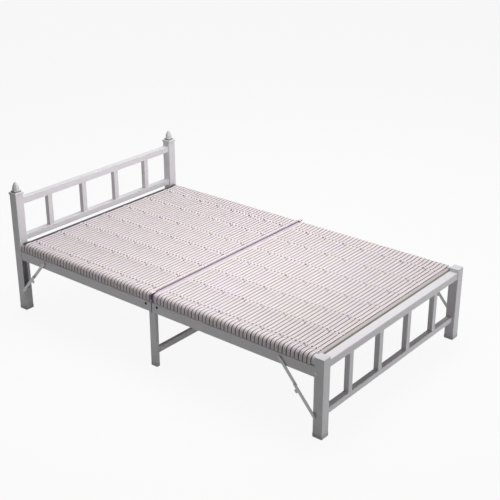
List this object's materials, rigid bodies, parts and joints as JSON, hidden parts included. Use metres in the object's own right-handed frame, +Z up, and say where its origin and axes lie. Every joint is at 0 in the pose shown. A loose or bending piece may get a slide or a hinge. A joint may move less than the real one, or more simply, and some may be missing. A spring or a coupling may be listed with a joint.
{
  "type": "folding cot",
  "caption": "Folding cot with a woven strand deck in two halves on a tubular steel frame, a railed headboard and footboard that fold under, braced legs and a centre leg frame.",
  "frame": {"origin": "on the floor, at the middle of the bed", "axes": "+X to the sleeper's left seen from the foot, +Y towards the head, +Z up"},
  "size_m": [1.2184, 2.003, 0.722],
  "materials": {
    "frame_paint": "satin silver-grey paint",
    "end_bar_paint": "satin olive-beige paint",
    "brace_paint": "grey painted flat steel",
    "bare_steel": "zinc plated",
    "woven_strand": "cream and mauve flat strands",
    "cap_plastic": "moulded, frame colour",
    "foot_cap_plastic": "moulded grey"
  },
  "bodies": {
    "centre_leg_frame": {"left_centre_leg": "frame_paint", "right_centre_leg": "frame_paint", "centre_stretcher": "frame_paint", "centre_hinge_leaves": "frame_paint", "fold_pins": "bare_steel", "centre_foot_caps": "foot_cap_plastic"},
    "head_half": {"head_left_side_rail": "frame_paint", "head_right_side_rail": "frame_paint", "head_left_deck_tube": "frame_paint", "head_right_deck_tube": "frame_paint", "head_fold_bar": "frame_paint", "head_end_bar": "end_bar_paint", "head_cross_bars": "frame_paint", "head_woven_deck": "woven_strand", "head_hinge_leaves": "frame_paint", "head_leaf_rivets": "bare_steel", "head_brace_rivets": "bare_steel"},
    "foot_half": {"foot_left_side_rail": "frame_paint", "foot_right_side_rail": "frame_paint", "foot_left_deck_tube": "frame_paint", "foot_right_deck_tube": "frame_paint", "foot_fold_bar": "frame_paint", "foot_end_bar": "end_bar_paint", "foot_cross_bars": "frame_paint", "foot_woven_deck": "woven_strand", "foot_hinge_leaves": "frame_paint", "foot_leaf_rivets": "bare_steel", "foot_brace_rivets": "bare_steel"},
    "headboard": {"headboard_left_post": "frame_paint", "headboard_right_post": "frame_paint", "headboard_top_rail": "frame_paint", "headboard_lower_rail": "frame_paint", "headboard_balusters": "frame_paint", "headboard_pivot_bolts": "bare_steel", "headboard_brace_rivets": "bare_steel", "headboard_foot_caps": "foot_cap_plastic", "headboard_collars": "cap_plastic", "headboard_finials": "cap_plastic"},
    "footboard": {"footboard_left_post": "frame_paint", "footboard_right_post": "frame_paint", "footboard_top_rail": "frame_paint", "footboard_lower_rail": "frame_paint", "footboard_balusters": "frame_paint", "footboard_pivot_bolts": "bare_steel", "footboard_brace_rivets": "bare_steel", "footboard_foot_caps": "foot_cap_plastic", "footboard_post_caps": "cap_plastic"},
    "head_upper_brace_pair": {"head_upper_braces": "brace_paint"},
    "head_lower_brace_pair": {"head_lower_braces": "brace_paint", "head_brace_mid_rivets": "bare_steel"},
    "foot_upper_brace_pair": {"foot_upper_braces": "brace_paint"},
    "foot_lower_brace_pair": {"foot_lower_braces": "brace_paint", "foot_brace_mid_rivets": "bare_steel"}
  },
  "joints": [
    {"name": "head_half_fold", "type": "hinge", "parent": "centre_leg_frame", "child": "head_half", "pos_m": [0, 0, 0.3935], "axis": [1, 0, 0], "range_deg": [0, 90]},
    {"name": "foot_half_fold", "type": "hinge", "parent": "centre_leg_frame", "child": "foot_half", "pos_m": [0, 0, 0.3935], "axis": [-1, 0, 0], "range_deg": [0, 90]},
    {"name": "headboard_fold", "type": "hinge", "parent": "head_half", "child": "headboard", "pos_m": [0, 0.96, 0.32], "axis": [-1, 0, 0], "range_deg": [0, 80]},
    {"name": "footboard_fold", "type": "hinge", "parent": "foot_half", "child": "footboard", "pos_m": [0, -0.96, 0.32], "axis": [1, 0, 0], "range_deg": [0, 80]},
    {"name": "head_upper_brace_swing", "type": "hinge", "parent": "head_half", "child": "head_upper_brace_pair", "pos_m": [0, 0.768, 0.328], "axis": [1, 0, 0], "range_deg": [0, 47.9]},
    {"name": "foot_upper_brace_swing", "type": "hinge", "parent": "foot_half", "child": "foot_upper_brace_pair", "pos_m": [0, -0.768, 0.328], "axis": [-1, 0, 0], "range_deg": [0, 47.9]},
    {"name": "head_lower_brace_swing", "type": "hinge", "parent": "headboard", "child": "head_lower_brace_pair", "pos_m": [0, 0.962, 0.106], "axis": [-1, 0, 0], "range_deg": [0, 34.8]},
    {"name": "foot_lower_brace_swing", "type": "hinge", "parent": "footboard", "child": "foot_lower_brace_pair", "pos_m": [0, -0.962, 0.106], "axis": [1, 0, 0], "range_deg": [0, 34.8]}
  ],
  "couplings": [
    {"joint": "headboard_fold", "follows": "head_half_fold", "ratio": 0.88888},
    {"joint": "head_upper_brace_swing", "follows": "head_half_fold", "ratio": 0.53222},
    {"joint": "head_lower_brace_swing", "follows": "head_half_fold", "ratio": 0.38666},
    {"joint": "foot_upper_brace_swing", "follows": "footboard_fold", "ratio": 0.59875},
    {"joint": "foot_lower_brace_swing", "follows": "footboard_fold", "ratio": 0.43499}
  ]
}
